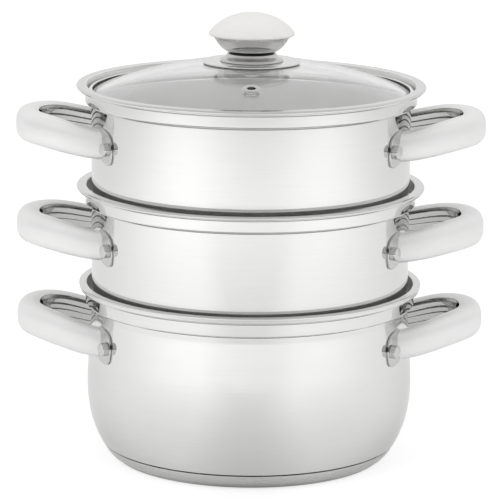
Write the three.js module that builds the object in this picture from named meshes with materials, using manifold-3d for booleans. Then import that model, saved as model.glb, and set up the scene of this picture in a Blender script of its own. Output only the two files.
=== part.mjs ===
// Three-tier steamer pot in millimetres: +Z up, underside on z = 0, handles along X, front towards -Y.
// A bellied pot with a bonded base carries two perforated steamers and a domed glass lid, each of
// which rests on the ledge inside the rim below it and lifts straight off.
import * as THREE from "three";
import { mergeVertices } from "three/addons/utils/BufferGeometryUtils.js";
import Module from "manifold-3d";

const wasm = await Module();
wasm.setup();

// How finely round pieces are cut: the large bodies share one count so that their facets nest.
const facets = { body: 32, knob: 20, rivet: 8, eyelet: 8, perforation: 6, section: 8, domeSteps: 4 };

// Sheet steel and the straight wall that every tier shares.
const sheet = { gauge: 0.8 };
const wall = { radius: 90.5 };
const overrun = 6; // how far a cutting tool runs past what it cuts

// The rim: a flared collar with a ledge inside it and a small inward bead below.
const rim = {
  collarReach: 3.5,
  collarRound: 0.8,
  mouthRound: 0.9,
  beadDepth: 1.1,
  beadThroat: 0.6,
  beadHeight: 3.6,
};
const rolledLip = { reach: 8.4, thickness: 2.6, round: 0.7 };
const flatLip = { reach: 7.15, thickness: 1.2, beadReach: 5.9, beadThickness: 1.9, round: 0.4 };
const seatClearance = 0.1; // between a stacked piece and the ledge that carries it

// The pot and its bonded base. The pot's foot and floor take their place from the cap that closes the base.
const pot = {
  lipHeight: 100.7,
  collarDepth: 10.6,
  bellyRadius: 93,
  bellyHeight: 43,
};
const base = {
  capGauge: 0.7,
  coreThickness: 4.2,
  bottomRadius: 77.5,
  bottomRound: 1.2,
  flare: 6.4,
  height: 8.8,
  footStep: 1,
  footGap: 0.6,
  floorInset: 3.5,
  coreInset: 2,
  clearance: 0.15,
};
const flareShares = [[0.36, 0.17], [0.68, 0.43]]; // from underside to edge: share of radius, share of height
const heelShares = [[0.385, 0.26], [0.76, 0.9]]; // from floor to foot: share of radius, share of height
const bellyShares = [[0.38, 0.2], [0.8, 0.5], [1, 1]]; // from foot to belly: share of radius, share of height
const shoulderShares = [[0.72, 0.36], [0.26, 0.74]]; // from belly to wall: share of radius, share of height

// Both steamers are alike.
const steamer = {
  height: 65.6,
  collarDepth: 9.1,
  footInset: 1,
  footRound: 1.5,
  bandHeight: 13,
};
const bandShares = [[0.1, 0.5], [0.5, 0.78]]; // from foot to wall: share of radius, share of height
const perforation = { radius: 3, pitch: 20, rings: 3 };

// The hollow loop handles, riveted through a lug at the end of each arm.
const handle = {
  rootAngle: 23.7,
  rootInset: 3,
  reach: 36.3,
  rootHeight: 16.8,
  height: 18.5,
  rootThickness: 9,
  thickness: 12.6,
  gauge: 1,
  rootDrop: 28.4,
  clearance: 0.2,
  innerStart: 7,
  ventRadius: 1.2,
  ventReach: 14,
  steps: 16,
};
const handleRise = { pot: 9, steamer: 6 }; // how far the loop climbs from its root to its far end
const loopOutShares = [0.29, 0.56, 0.81, 0.955, 1]; // along the loop: share of the way out
const loopSpanShares = [0.9, 0.79, 0.6, 0.33, 0]; // along the loop: share of the half span left
const loopRiseShares = [0.36, 0.67, 0.88, 0.97, 1]; // along the loop: share of the rise reached
const swellShare = 0.25; // share of the loop's half length in which the root swells to the full section
const sectionSquareness = 0.85;
const lug = {
  angle: 30,
  thickness: 1.6,
  armSide: 12,
  freeSide: 4.1,
  above: 9.6,
  below: 10,
};
// Round the lug: share of the free side (minus is towards the arm, of the arm side), share of its height.
const lugShares = [
  [-1, 0.01], [-0.74, 0], [-0.2, 0.05], [0.66, 0.22], [0.98, 0.48], [1, 0.74], [0.78, 0.91], [0.44, 0.975],
  [-0.1, 1], [-0.74, 0.95], [-1, 0.91],
];
const rivet = {
  below: 1,
  shankRadius: 2.4,
  holeClearance: 0.25,
  headRadius: 3.9,
  headTopRadius: 3.5,
  headHeight: 4,
  headRound: 0.5,
  innerRadius: 4,
  innerHeight: 1.2,
  clearance: 0.15,
  innerClearance: 0.5,
};

// The glass lid, measured from the underside of its steel ring.
const lidRing = { clearance: 1.2, height: 6.8, gauge: 0.6, width: 2.15, round: 0.4 };
const lidSeal = { gauge: 0.5, showing: 0.5, clearance: 0.1 };
const glass = { thickness: 3.6, domeRadius: 216, crownRadius: 35.5, edgeClearance: 0.1, boreRadius: 4 };
const vent = {
  inset: 32,
  boreRadius: 2.3,
  barrelRadius: 3.2,
  headRadius: 5.1,
  headHeight: 0.9,
  footRadius: 4.5,
  footHeight: 0.8,
  clearance: 0.2,
  footClearance: 0.45,
};

// The knob, stacked up the lid's axis from the glass.
const knob = {
  flangeRadius: 27.8,
  flangeGauge: 0.8,
  clearance: 0.1,
  screwRadius: 2.5,
  screwClearance: 0.3,
};
const knobRing = {
  bottomRadius: 18.2,
  stepRadius: 17,
  stepHeight: 1.5,
  ledgeRadius: 16.2,
  topRadius: 14.2,
  height: 3.7,
};
const knobCore = { neckRadius: 13, neckHeight: 1.3, radius: 9, height: 9, threadDepth: 8 };
const knobBowl = { bottomRadius: 13.2, rimRadius: 22.4, height: 9.9, gauge: 0.8 };
// From the bowl's bottom to its rim: share of radius, share of height.
const bowlShares = [[0.12, 0.02], [0.57, 0.39], [0.88, 0.82]];
const knobCap = { overhang: 2.05, edgeHeight: 1.1, drop: 0.6, height: 12.7, gauge: 0.9 };
// From the cap's edge to its top: share of the way in, share of height.
const capShares = [[0.1, 0.33], [0.34, 0.7], [0.66, 0.93]];
const screw = { headRadius: 5.5, headHeight: 2.6 };
const washer = { radius: 11, thickness: 1.2, clearance: 0.1 };
const gasket = { radius: 10, thickness: 1.5, clearance: 0.3 };

const finish = {
  satinSteel: new THREE.MeshStandardMaterial({ color: 0xc8c8c6, metalness: 1, roughness: 0.32 }),
  polishedSteel: new THREE.MeshStandardMaterial({ color: 0xd2d2d0, metalness: 1, roughness: 0.08 }),
  aluminium: new THREE.MeshStandardMaterial({ color: 0xb9bbbd, metalness: 1, roughness: 0.5 }),
  glass: new THREE.MeshStandardMaterial({
    color: 0xf2f6f4,
    roughness: 0.03,
    transparent: true,
    opacity: 0.25,
  }),
  blackRubber: new THREE.MeshStandardMaterial({ color: 0x141414, roughness: 0.7 }),
  blackPlastic: new THREE.MeshStandardMaterial({ color: 0x101010, roughness: 0.4 }),
};

const radians = THREE.MathUtils.degToRad;

// A closed body turned about +Z from [radius, height] points, up the outside and down the inside.
function turned(points, sides) {
  const outline = points.map(([radius, height]) => new THREE.Vector2(radius, height));
  return new THREE.LatheGeometry(outline, sides).rotateX(Math.PI / 2);
}

// A ring whose outline closes on itself.
function ring(points, sides) {
  return turned([...points, points[0]], sides);
}

function solidOf(geometry) {
  const bare = geometry.clone();
  bare.deleteAttribute("normal");
  bare.deleteAttribute("uv");
  const merged = mergeVertices(bare);
  return new wasm.Manifold(
    new wasm.Mesh({
      numProp: 3,
      vertProperties: new Float32Array(merged.attributes.position.array),
      triVerts: new Uint32Array(merged.index.array),
    }),
  );
}

function geometryOf(solid) {
  const mesh = solid.getMesh();
  const geometry = new THREE.BufferGeometry();
  geometry.setAttribute("position", new THREE.BufferAttribute(new Float32Array(mesh.vertProperties), 3));
  geometry.setIndex(new THREE.BufferAttribute(new Uint32Array(mesh.triVerts), 1));
  geometry.computeVertexNormals();
  return geometry;
}

function piece(name, shape, material) {
  const mesh = new THREE.Mesh(shape.isBufferGeometry ? shape : geometryOf(shape), material);
  mesh.name = name;
  return mesh;
}

// Points between two [radius, height] ends at the given shares of the way.
function between(start, end, shares) {
  return shares.map(([radiusShare, heightShare]) => [
    start[0] + (end[0] - start[0]) * radiusShare,
    start[1] + (end[1] - start[1]) * heightShare,
  ]);
}

// The same line moved towards the axis (or down) by one sheet gauge, listed backwards.
function innerSkin(points, gauge) {
  return points
    .map(([radius, height], i) => {
      const before = points[Math.max(i - 1, 0)];
      const after = points[Math.min(i + 1, points.length - 1)];
      const along = new THREE.Vector2(after[0] - before[0], after[1] - before[1]).normalize();
      return [Math.max(radius - along.y * gauge, 0), height + along.x * gauge];
    })
    .reverse();
}

// The rim's outline from the wall up the outside, round the lip and down the inside to the wall.
function rimOutline(lipHeight, collarDepth, lipPoints) {
  const collar = wall.radius + rim.collarReach;
  const collarFoot = lipHeight - collarDepth;
  const ledge = collarFoot + sheet.gauge;
  const bead = wall.radius - rim.beadDepth;
  return [
    [wall.radius, collarFoot - rim.beadHeight],
    [bead, collarFoot - rim.beadThroat],
    [collar - rim.collarRound, collarFoot],
    [collar, collarFoot + rim.collarRound],
    ...lipPoints(collar, lipHeight),
    [collar - sheet.gauge, lipHeight - rim.mouthRound],
    [collar - sheet.gauge, ledge + rim.collarRound],
    [collar - sheet.gauge - rim.collarRound, ledge],
    [bead - sheet.gauge / 2, ledge],
    [bead - sheet.gauge, ledge - rim.beadThroat],
    [wall.radius - sheet.gauge, collarFoot - rim.beadHeight],
  ];
}

function rolledLipPoints(collar, lipHeight) {
  const edge = wall.radius + rolledLip.reach;
  const half = rolledLip.thickness / 2;
  return [
    [collar, lipHeight - half],
    [edge - rolledLip.round, lipHeight - half],
    [edge, lipHeight - half + rolledLip.round],
    [edge, lipHeight + half - rolledLip.round],
    [edge - rolledLip.round, lipHeight + half],
    [collar + rim.mouthRound, lipHeight + half],
  ];
}

function flatLipPoints(collar, lipHeight) {
  const edge = wall.radius + flatLip.reach;
  const half = flatLip.thickness / 2;
  const beadEdge = wall.radius + flatLip.beadReach;
  const beadFoot = lipHeight - half - flatLip.beadThickness;
  return [
    [collar, beadFoot],
    [beadEdge - flatLip.round, beadFoot],
    [beadEdge, beadFoot + flatLip.beadThickness / 2],
    [beadEdge - flatLip.round, lipHeight - half],
    [edge, lipHeight - half],
    [edge, lipHeight + half],
    [collar + rim.mouthRound, lipHeight + half],
  ];
}

// Heights up the stack.
const potFloor = base.capGauge + base.coreThickness + 2 * base.clearance;
const potFloorRadius = base.bottomRadius - base.floorInset;
const capEdgeRadius = base.bottomRadius + base.flare;
const rivetDrop = handle.rootDrop + rivet.below;
const mouthRadius = wall.radius + rim.collarReach - sheet.gauge;
const lidRadius = mouthRadius - lidRing.clearance;
const ventDistance = lidRadius - vent.inset;
const ledgeDrop = (collarDepth) => collarDepth - sheet.gauge - seatClearance;
const middleBottom = pot.lipHeight - ledgeDrop(pot.collarDepth);
const topBottom = middleBottom + steamer.height - ledgeDrop(steamer.collarDepth);
const lidBottom = topBottom + steamer.height - ledgeDrop(steamer.collarDepth);

// The outer skin of each tier, from the middle of its floor to the wall under the rim.
function potSkin() {
  const foot = [capEdgeRadius + base.footStep, base.height + base.footGap];
  const belly = [pot.bellyRadius, pot.bellyHeight];
  const shoulder = [wall.radius, pot.lipHeight - pot.collarDepth - rim.beadHeight];
  const floor = [potFloorRadius, potFloor];
  const fromBelow = shoulderShares.map(([radiusShare, heightShare]) => [radiusShare, 1 - heightShare]);
  return [
    [0, potFloor],
    floor,
    ...between(floor, foot, heelShares),
    foot,
    ...between(foot, belly, bellyShares),
    ...between(shoulder, belly, fromBelow),
    shoulder,
  ];
}

function steamerSkin() {
  const footRadius = wall.radius - steamer.footInset;
  const foot = [footRadius, steamer.footRound];
  const band = [wall.radius, steamer.bandHeight];
  return [
    [0, 0],
    [footRadius - steamer.footRound, 0],
    foot,
    ...between(foot, band, bandShares),
    band,
    [wall.radius, steamer.height - steamer.collarDepth - rim.beadHeight],
  ];
}

// A tier's sheet body: its skin up to the rim, the rim, and the inside of the same sheet.
function tierSolid(skin, lipHeight, collarDepth, lipPoints) {
  const outside = skin.slice(0, -1);
  const inside = innerSkin(skin, sheet.gauge).slice(1);
  const edge = rimOutline(lipHeight, collarDepth, lipPoints);
  return solidOf(turned([...outside, ...edge, ...inside], facets.body));
}

// Everything inside a skin moved outwards by a distance: what a handle is cut back by, or fitted round.
function skinBlank(skin, distance) {
  const grown = skin.slice(1).map(([radius, height]) => [radius + distance, height]);
  const last = grown[grown.length - 1];
  return solidOf(turned([[0, grown[0][1]], ...grown, [0, last[1]]], facets.body));
}

// A round bar along +X at a height, turned about +Z by an angle: for rivet holes.
function radialBar(radius, reach, height, angle) {
  const bar = new THREE.CylinderGeometry(radius, radius, reach, facets.rivet);
  bar.rotateZ(Math.PI / 2);
  bar.translate(wall.radius, 0, height);
  bar.rotateZ(angle);
  return solidOf(bar);
}

// A tube through rings of section points, closed at both ends.
function sweep(rings) {
  const around = rings[0].length;
  const points = rings.flat();
  const faces = [];
  for (let i = 0; i + 1 < rings.length; i++) {
    for (let j = 0; j < around; j++) {
      const a = i * around + j;
      const b = i * around + ((j + 1) % around);
      faces.push(a, b + around, b, a, a + around, b + around);
    }
  }
  const last = (rings.length - 1) * around;
  for (let j = 1; j + 1 < around; j++) {
    faces.push(0, j, j + 1, last, last + j + 1, last + j);
  }
  const geometry = new THREE.BufferGeometry().setFromPoints(points);
  geometry.setIndex(faces);
  return geometry;
}

// The centre line of a right-hand loop, from its front root to its back root.
function loopCurve(lipHeight, rise) {
  const root = radians(handle.rootAngle);
  const rootX = (wall.radius - handle.rootInset) * Math.cos(root);
  const rootY = (wall.radius - handle.rootInset) * Math.sin(root);
  const far = wall.radius + handle.reach;
  const rootZ = lipHeight - handle.rootDrop;
  const front = [[rootX, -rootY, rootZ]];
  loopOutShares.forEach((outShare, i) => {
    const out = rootX + (far - rootX) * outShare;
    front.push([out, -rootY * loopSpanShares[i], rootZ + rise * loopRiseShares[i]]);
  });
  const back = front.slice(0, -1).reverse().map(([x, y, z]) => [x, -y, z]);
  const points = [...front, ...back].map((point) => new THREE.Vector3(...point));
  return new THREE.CatmullRomCurve3(points, false, "centripetal");
}

// Section rings along a stretch of the loop, drawn in by a skin thickness. The flats lie at the full size.
function loopRings(curve, drawnIn, start, end) {
  const rings = [];
  const flatReach = Math.cos(Math.PI / facets.section) ** sectionSquareness;
  for (let i = 0; i <= handle.steps; i++) {
    const share = start + ((end - start) * i) / handle.steps;
    const centre = curve.getPointAt(share);
    const along = curve.getTangentAt(share);
    const across = new THREE.Vector3(along.y, -along.x, 0).normalize();
    const up = new THREE.Vector3().crossVectors(across, along).normalize();
    const swell = THREE.MathUtils.smoothstep(Math.min(share, 1 - share), 0, swellShare);
    const height = THREE.MathUtils.lerp(handle.rootHeight, handle.height, swell);
    const thickness = THREE.MathUtils.lerp(handle.rootThickness, handle.thickness, swell);
    const upReach = (height / 2 - drawnIn) / flatReach;
    const sideReach = (thickness / 2 - drawnIn) / flatReach;
    const section = [];
    for (let j = 0; j < facets.section; j++) {
      const turn = (2 * Math.PI * (j + 0.5)) / facets.section;
      const sideways = Math.sign(Math.cos(turn)) * Math.abs(Math.cos(turn)) ** sectionSquareness;
      const upwards = Math.sign(Math.sin(turn)) * Math.abs(Math.sin(turn)) ** sectionSquareness;
      section.push(
        centre.clone().addScaledVector(across, sideways * sideReach).addScaledVector(up, upwards * upReach),
      );
    }
    rings.push(section);
  }
  return rings;
}

// A lug: the part of a shell lying on the tier's skin inside the lug's outline.
function lugSolid(lugShell, lipHeight, side) {
  const top = lipHeight - handle.rootDrop + lug.above;
  const outline = lugShares.map(([sideShare, heightShare]) => {
    const sideways = sideShare * (sideShare < 0 ? lug.armSide : lug.freeSide);
    return new THREE.Vector2(sideways, top - (lug.above + lug.below) * heightShare);
  });
  const prism = new THREE.ExtrudeGeometry(new THREE.Shape(outline), {
    depth: lug.thickness + 2 * overrun,
    bevelEnabled: false,
    curveSegments: 1,
  });
  prism.rotateX(Math.PI / 2);
  prism.rotateZ(-Math.PI / 2);
  prism.translate(wall.radius + lug.thickness + overrun, 0, 0);
  prism.rotateZ(radians(-lug.angle));
  const front = solidOf(prism);
  return lugShell.intersect(side < 0 ? front : front.mirror([0, 1, 0]));
}

// One right-hand handle of a tier: a hollow loop with a lug at each end, holed for its rivets.
function handleSolid(skin, lipHeight, rise) {
  const curve = loopCurve(lipHeight, rise);
  const innerShare = handle.innerStart / curve.getLength();
  let solid = solidOf(sweep(loopRings(curve, 0, 0, 1)));
  const hollow = solidOf(sweep(loopRings(curve, handle.gauge, innerShare, 1 - innerShare)));
  const wallBlank = skinBlank(skin, handle.clearance);
  const lugShell = skinBlank(skin, handle.clearance + lug.thickness).subtract(wallBlank);
  for (const side of [-1, 1]) solid = solid.add(lugSolid(lugShell, lipHeight, side));
  solid = solid.subtract(wallBlank).subtract(hollow);
  const ventShare = handle.ventReach / curve.getLength();
  const ventAt = curve.getPointAt(ventShare);
  const ventBar = new THREE.CylinderGeometry(
    handle.ventRadius,
    handle.ventRadius,
    handle.thickness,
    facets.perforation,
  );
  ventBar.translate(ventAt.x, ventAt.y + handle.thickness / 2, ventAt.z);
  solid = solid.subtract(solidOf(ventBar));
  for (const side of [-1, 1]) solid = solid.subtract(rivetHole(lipHeight, side, 0));
  return solid;
}

function rivetHole(lipHeight, side, turn) {
  const reach = 2 * (rim.collarReach + lug.thickness + overrun);
  const angle = side * radians(lug.angle) + turn;
  return radialBar(rivet.shankRadius + rivet.holeClearance, reach, lipHeight - rivetDrop, angle);
}

function skinRadiusAt(skin, height) {
  for (let i = 1; i < skin.length; i++) {
    const [r0, z0] = skin[i - 1];
    const [r1, z1] = skin[i];
    if (height > z0 && height <= z1) return r0 + ((r1 - r0) * (height - z0)) / (z1 - z0);
  }
  return wall.radius;
}

// A rivet along +X: inner head, shank through wall and lug, tapered outer head.
function rivetGeometry(skin, height) {
  const reached = [-1, 0, 1].map((way) => skinRadiusAt(skin, height + way * rivet.innerRadius));
  const lugFace = Math.max(...reached) + handle.clearance + lug.thickness + rivet.clearance;
  const wallInside = Math.min(...reached) - sheet.gauge;
  const innerFace = wallInside * Math.cos(Math.PI / facets.body) - rivet.innerClearance;
  const geometry = turned(
    [
      [0, innerFace - rivet.innerHeight],
      [rivet.innerRadius, innerFace - rivet.innerHeight / 2],
      [rivet.innerRadius, innerFace],
      [rivet.shankRadius, innerFace],
      [rivet.shankRadius, lugFace],
      [rivet.headRadius, lugFace],
      [rivet.headTopRadius, lugFace + rivet.headHeight - rivet.headRound],
      [0, lugFace + rivet.headHeight],
    ],
    facets.rivet,
  );
  return geometry.rotateZ(Math.PI / facets.rivet).rotateY(Math.PI / 2);
}

// A tier: its body, two handles and four rivets, in its own frame.
function tier(name, bodyName, skin, lipHeight, collarDepth, lipPoints, rise, cutBody) {
  const group = new THREE.Group();
  let body = tierSolid(skin, lipHeight, collarDepth, lipPoints);
  const rivetHeight = lipHeight - rivetDrop;
  const rivetShape = rivetGeometry(skin, rivetHeight);
  const handleShape = geometryOf(handleSolid(skin, lipHeight, rise));
  for (const [sideName, turn] of [["right", 0], ["left", Math.PI]]) {
    const hand = piece(`${name}_handle_${sideName}`, handleShape.clone(), finish.polishedSteel);
    hand.rotation.z = turn;
    group.add(hand);
    for (const side of [-1, 1]) {
      const endName = side * Math.cos(turn) < 0 ? "front" : "back";
      const angle = side * radians(lug.angle) + turn;
      body = body.subtract(rivetHole(lipHeight, side, turn));
      const pin = piece(`${name}_rivet_${sideName}_${endName}`, rivetShape.clone(), finish.polishedSteel);
      pin.position.z = rivetHeight;
      pin.rotation.z = angle;
      group.add(pin);
    }
  }
  group.add(piece(bodyName, cutBody(body), finish.satinSteel));
  return group;
}

// Steam holes through a steamer's floor on a triangular grid.
function perforated(body) {
  const { radius } = perforation;
  const shape = new THREE.CylinderGeometry(radius, radius, overrun, facets.perforation);
  shape.rotateX(Math.PI / 2);
  const hole = solidOf(shape);
  let result = body;
  for (let row = -perforation.rings; row <= perforation.rings; row++) {
    const count = 2 * perforation.rings + 1 - Math.abs(row);
    for (let i = 0; i < count; i++) {
      const x = (i - (count - 1) / 2) * perforation.pitch;
      const y = row * perforation.pitch * Math.sin(Math.PI / 3);
      result = result.subtract(hole.translate([x, y, 0]));
    }
  }
  return result;
}

// The base: an aluminium core disc and the steel cap that closes it against the pot's foot.
function baseCore() {
  const bottom = base.capGauge + base.clearance;
  const top = bottom + base.coreThickness;
  const radius = potFloorRadius - base.coreInset;
  return turned([[0, bottom], [radius, bottom], [radius, top], [0, top]], facets.body);
}

function baseCap() {
  const corner = [base.bottomRadius, base.bottomRound];
  const edge = [capEdgeRadius, base.height];
  const outside = [
    [0, 0],
    [base.bottomRadius - base.bottomRound, 0],
    corner,
    ...between(corner, edge, flareShares),
    edge,
  ];
  const inside = innerSkin(outside, base.capGauge);
  inside[0][1] = base.height;
  return turned([...outside, ...inside], facets.body);
}

// The glass is held at its edge by the seal in the ring and domed inside that.
const grip = lidRing.gauge + lidSeal.gauge + lidSeal.clearance + glass.edgeClearance;
const glassEdge = {
  radius: lidRadius - grip,
  top: lidRing.height - grip,
  bottom: grip,
  domeStart: lidRadius - lidRing.width - lidSeal.showing - lidSeal.gauge,
};
const domeCentre = glassEdge.top - Math.sqrt(glass.domeRadius ** 2 - glassEdge.domeStart ** 2);

// Height of the glass's upper face at a distance from the axis, or of a face below it. Its crown is flat.
function domeHeight(distance, below) {
  const slopeStart = Math.max(distance, glass.crownRadius);
  return domeCentre + Math.sqrt((glass.domeRadius - below) ** 2 - slopeStart ** 2);
}

function lidGlass() {
  const { radius, top, bottom, domeStart } = glassEdge;
  const above = [];
  const below = [];
  for (let i = 0; i <= facets.domeSteps; i++) {
    const distance = domeStart + ((glass.crownRadius - domeStart) * i) / facets.domeSteps;
    above.push([distance, domeHeight(distance, 0)]);
    below.push([distance, Math.max(domeHeight(distance, glass.thickness), bottom)]);
  }
  above.push([glass.boreRadius, domeHeight(glass.boreRadius, 0)]);
  below.push([glass.boreRadius, domeHeight(glass.boreRadius, glass.thickness)]);
  const outline = [...below.reverse(), [radius, bottom], [radius, top], ...above];
  const plain = solidOf(ring(outline, facets.body));
  const bore = new THREE.CylinderGeometry(
    vent.barrelRadius + vent.clearance,
    vent.barrelRadius + vent.clearance,
    glass.thickness + 2 * overrun,
    facets.eyelet,
  );
  bore.rotateX(Math.PI / 2);
  const hole = new THREE.Mesh(bore);
  placeOnDome(hole);
  return plain.subtract(solidOf(bore.applyMatrix4(hole.matrix)));
}

// Puts a shape made along +Z at the vent's place, square to the glass.
function placeOnDome(object) {
  object.position.set(0, -ventDistance, domeHeight(ventDistance, 0));
  object.rotation.x = Math.asin(ventDistance / glass.domeRadius);
  object.updateMatrix();
}

function ventEyelet() {
  const top = vent.clearance;
  const foot = -glass.thickness - vent.footClearance;
  return ring(
    [
      [vent.boreRadius, foot - vent.footHeight],
      [vent.footRadius, foot - vent.footHeight],
      [vent.footRadius, foot],
      [vent.barrelRadius, foot],
      [vent.barrelRadius, top],
      [vent.headRadius, top],
      [vent.headRadius - vent.headHeight / 2, top + vent.headHeight],
      [vent.boreRadius + vent.headHeight / 2, top + vent.headHeight],
      [vent.boreRadius, top + vent.headHeight / 2],
    ],
    facets.eyelet,
  );
}

function lidRingShape() {
  const { height, gauge, width, round } = lidRing;
  return ring(
    [
      [lidRadius - width, 0],
      [lidRadius, 0],
      [lidRadius, height - round],
      [lidRadius - round, height],
      [lidRadius - width, height],
      [lidRadius - width, height - gauge],
      [lidRadius - gauge, height - gauge],
      [lidRadius - gauge, gauge],
      [lidRadius - width, gauge],
    ],
    facets.body,
  );
}

function lidSealShape() {
  const outer = lidRadius - lidRing.gauge - lidSeal.clearance;
  const inner = lidRadius - lidRing.width - lidSeal.showing;
  const bottom = lidRing.gauge + lidSeal.clearance;
  const top = lidRing.height - lidRing.gauge - lidSeal.clearance;
  return ring(
    [
      [inner, bottom],
      [outer, bottom],
      [outer, top],
      [inner, top],
      [inner, top - lidSeal.gauge],
      [outer - lidSeal.gauge, top - lidSeal.gauge],
      [outer - lidSeal.gauge, bottom + lidSeal.gauge],
      [inner, bottom + lidSeal.gauge],
    ],
    facets.body,
  );
}

// Knob pieces, in the lid's frame. Heights climb from the glass.
const screwHole = knob.screwRadius + knob.screwClearance;
const flangeFoot = domeHeight(screwHole, 0) + knob.clearance;
const flangeTop = flangeFoot + knob.flangeGauge;
const ringFoot = flangeTop + knob.clearance;
const ringTop = ringFoot + knobRing.height;
const coreFoot = ringTop + knob.clearance;
const bowlFoot = coreFoot + knobCore.neckHeight + knob.clearance;
const bowlRim = bowlFoot + knobBowl.height;
const capFoot = bowlRim - knobCap.drop;
const gasketTop = domeHeight(gasket.radius, glass.thickness) - gasket.clearance;
const washerTop = gasketTop - gasket.thickness - washer.clearance;

function knobFlange() {
  return flatRing(knob.flangeRadius, screwHole, flangeTop, knob.flangeGauge);
}

function knobBaseRing() {
  return ring(
    [
      [screwHole, ringFoot],
      [knobRing.bottomRadius, ringFoot],
      [knobRing.stepRadius, ringFoot + knobRing.stepHeight],
      [knobRing.ledgeRadius, ringFoot + knobRing.stepHeight],
      [knobRing.topRadius, ringTop],
      [screwHole, ringTop],
    ],
    facets.knob,
  );
}

function knobCoreShape() {
  const top = bowlFoot + knobCore.height;
  const threadTop = coreFoot + knobCore.threadDepth;
  return turned(
    [
      [0, threadTop],
      [screwHole, threadTop],
      [screwHole, coreFoot],
      [knobCore.neckRadius, coreFoot],
      [knobCore.neckRadius, coreFoot + knobCore.neckHeight],
      [knobCore.radius, coreFoot + knobCore.neckHeight],
      [knobCore.radius, top],
      [0, top],
    ],
    facets.knob,
  );
}

function knobBowlShape() {
  const hole = knobCore.radius + knob.clearance;
  const bottom = [knobBowl.bottomRadius, bowlFoot];
  const rimEdge = [knobBowl.rimRadius, bowlRim];
  const outside = [bottom, ...between(bottom, rimEdge, bowlShares), rimEdge];
  const inside = outside.map(([radius, height], i) => [
    radius - knobBowl.gauge,
    i + 1 < outside.length ? height + knobBowl.gauge : height,
  ]);
  const floorTop = [hole, bowlFoot + knobBowl.gauge];
  return ring([[hole, bowlFoot], ...outside, ...inside.reverse(), floorTop], facets.knob);
}

function knobCapShape() {
  const edge = [knobBowl.rimRadius + knobCap.overhang, capFoot + knobCap.edgeHeight];
  const crown = [0, capFoot + knobCap.height];
  const outside = [edge, ...between(edge, crown, capShares), crown];
  const seat = knobBowl.rimRadius + knob.clearance;
  const inside = outside
    .slice(1)
    .map(([radius, height]) => [Math.max(radius - knobCap.gauge, 0), height - knobCap.gauge])
    .reverse();
  const foot = [[seat, edge[1]], [seat, capFoot], [edge[0] - knobCap.gauge / 2, capFoot]];
  return turned([...inside, ...foot, ...outside], facets.knob);
}

function knobScrew() {
  const headTop = washerTop - washer.thickness - washer.clearance;
  const tip = coreFoot + knobCore.threadDepth - knob.screwClearance;
  return turned(
    [
      [0, headTop - screw.headHeight],
      [screw.headRadius, headTop - screw.headHeight / 2],
      [screw.headRadius, headTop],
      [knob.screwRadius, headTop],
      [knob.screwRadius, tip],
      [0, tip],
    ],
    facets.rivet,
  );
}

function flatRing(outer, inner, top, thickness) {
  return ring([[inner, top - thickness], [outer, top - thickness], [outer, top], [inner, top]], facets.knob);
}

function lid() {
  const group = new THREE.Group();
  const eyelet = piece("vent_eyelet", ventEyelet(), finish.polishedSteel);
  placeOnDome(eyelet);
  const gasketShape = flatRing(gasket.radius, screwHole, gasketTop, gasket.thickness);
  const washerShape = flatRing(washer.radius, screwHole, washerTop, washer.thickness);
  group.add(
    piece("lid_glass", lidGlass(), finish.glass),
    piece("lid_ring", lidRingShape(), finish.polishedSteel),
    piece("lid_seal", lidSealShape(), finish.blackRubber),
    eyelet,
    piece("knob_flange", knobFlange(), finish.polishedSteel),
    piece("knob_base_ring", knobBaseRing(), finish.polishedSteel),
    piece("knob_core", knobCoreShape(), finish.blackPlastic),
    piece("knob_bowl", knobBowlShape(), finish.polishedSteel),
    piece("knob_cap", knobCapShape(), finish.satinSteel),
    piece("knob_screw", knobScrew(), finish.polishedSteel),
    piece("screw_gasket", gasketShape, finish.blackRubber),
    piece("screw_washer", washerShape, finish.polishedSteel),
  );
  return group;
}

const steamerPot = new THREE.Group();
const whole = (body) => body;
const potTier = tier(
  "pot",
  "pot_shell",
  potSkin(),
  pot.lipHeight,
  pot.collarDepth,
  flatLipPoints,
  handleRise.pot,
  whole,
);
potTier.add(
  piece("pot_base_core", baseCore(), finish.aluminium),
  piece("pot_base_cap", baseCap(), finish.satinSteel),
);
steamerPot.add(potTier);
for (const [name, bottom] of [["middle", middleBottom], ["top", topBottom]]) {
  const steamerTier = tier(
    name,
    `${name}_steamer_shell`,
    steamerSkin(),
    steamer.height,
    steamer.collarDepth,
    rolledLipPoints,
    handleRise.steamer,
    perforated,
  );
  steamerTier.position.z = bottom;
  steamerPot.add(steamerTier);
}
const lidGroup = lid();
lidGroup.position.z = lidBottom;
steamerPot.add(lidGroup);

export default steamerPot;
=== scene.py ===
import math

import bmesh
import bpy
import numpy as np
from mathutils import Matrix, Vector


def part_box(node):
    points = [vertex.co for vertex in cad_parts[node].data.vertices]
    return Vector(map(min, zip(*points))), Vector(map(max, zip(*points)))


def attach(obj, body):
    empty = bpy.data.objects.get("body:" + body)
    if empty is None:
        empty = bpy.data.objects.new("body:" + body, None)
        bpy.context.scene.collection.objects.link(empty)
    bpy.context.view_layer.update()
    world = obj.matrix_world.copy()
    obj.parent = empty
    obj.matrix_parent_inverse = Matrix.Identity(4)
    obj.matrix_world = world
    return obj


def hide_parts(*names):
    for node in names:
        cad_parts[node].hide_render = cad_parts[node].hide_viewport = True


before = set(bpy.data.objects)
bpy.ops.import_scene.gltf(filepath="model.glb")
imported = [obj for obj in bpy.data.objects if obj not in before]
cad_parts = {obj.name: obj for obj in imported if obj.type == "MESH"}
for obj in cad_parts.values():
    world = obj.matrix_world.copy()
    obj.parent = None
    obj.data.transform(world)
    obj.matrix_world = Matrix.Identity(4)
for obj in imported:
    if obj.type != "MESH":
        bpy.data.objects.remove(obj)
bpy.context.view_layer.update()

mm = 0.001  # sizes below are in millimetres, meshes in metres
scene = bpy.context.scene
scene.view_settings.view_transform = "Standard"


def lowCorner(node):
    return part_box(node)[0] / mm


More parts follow.
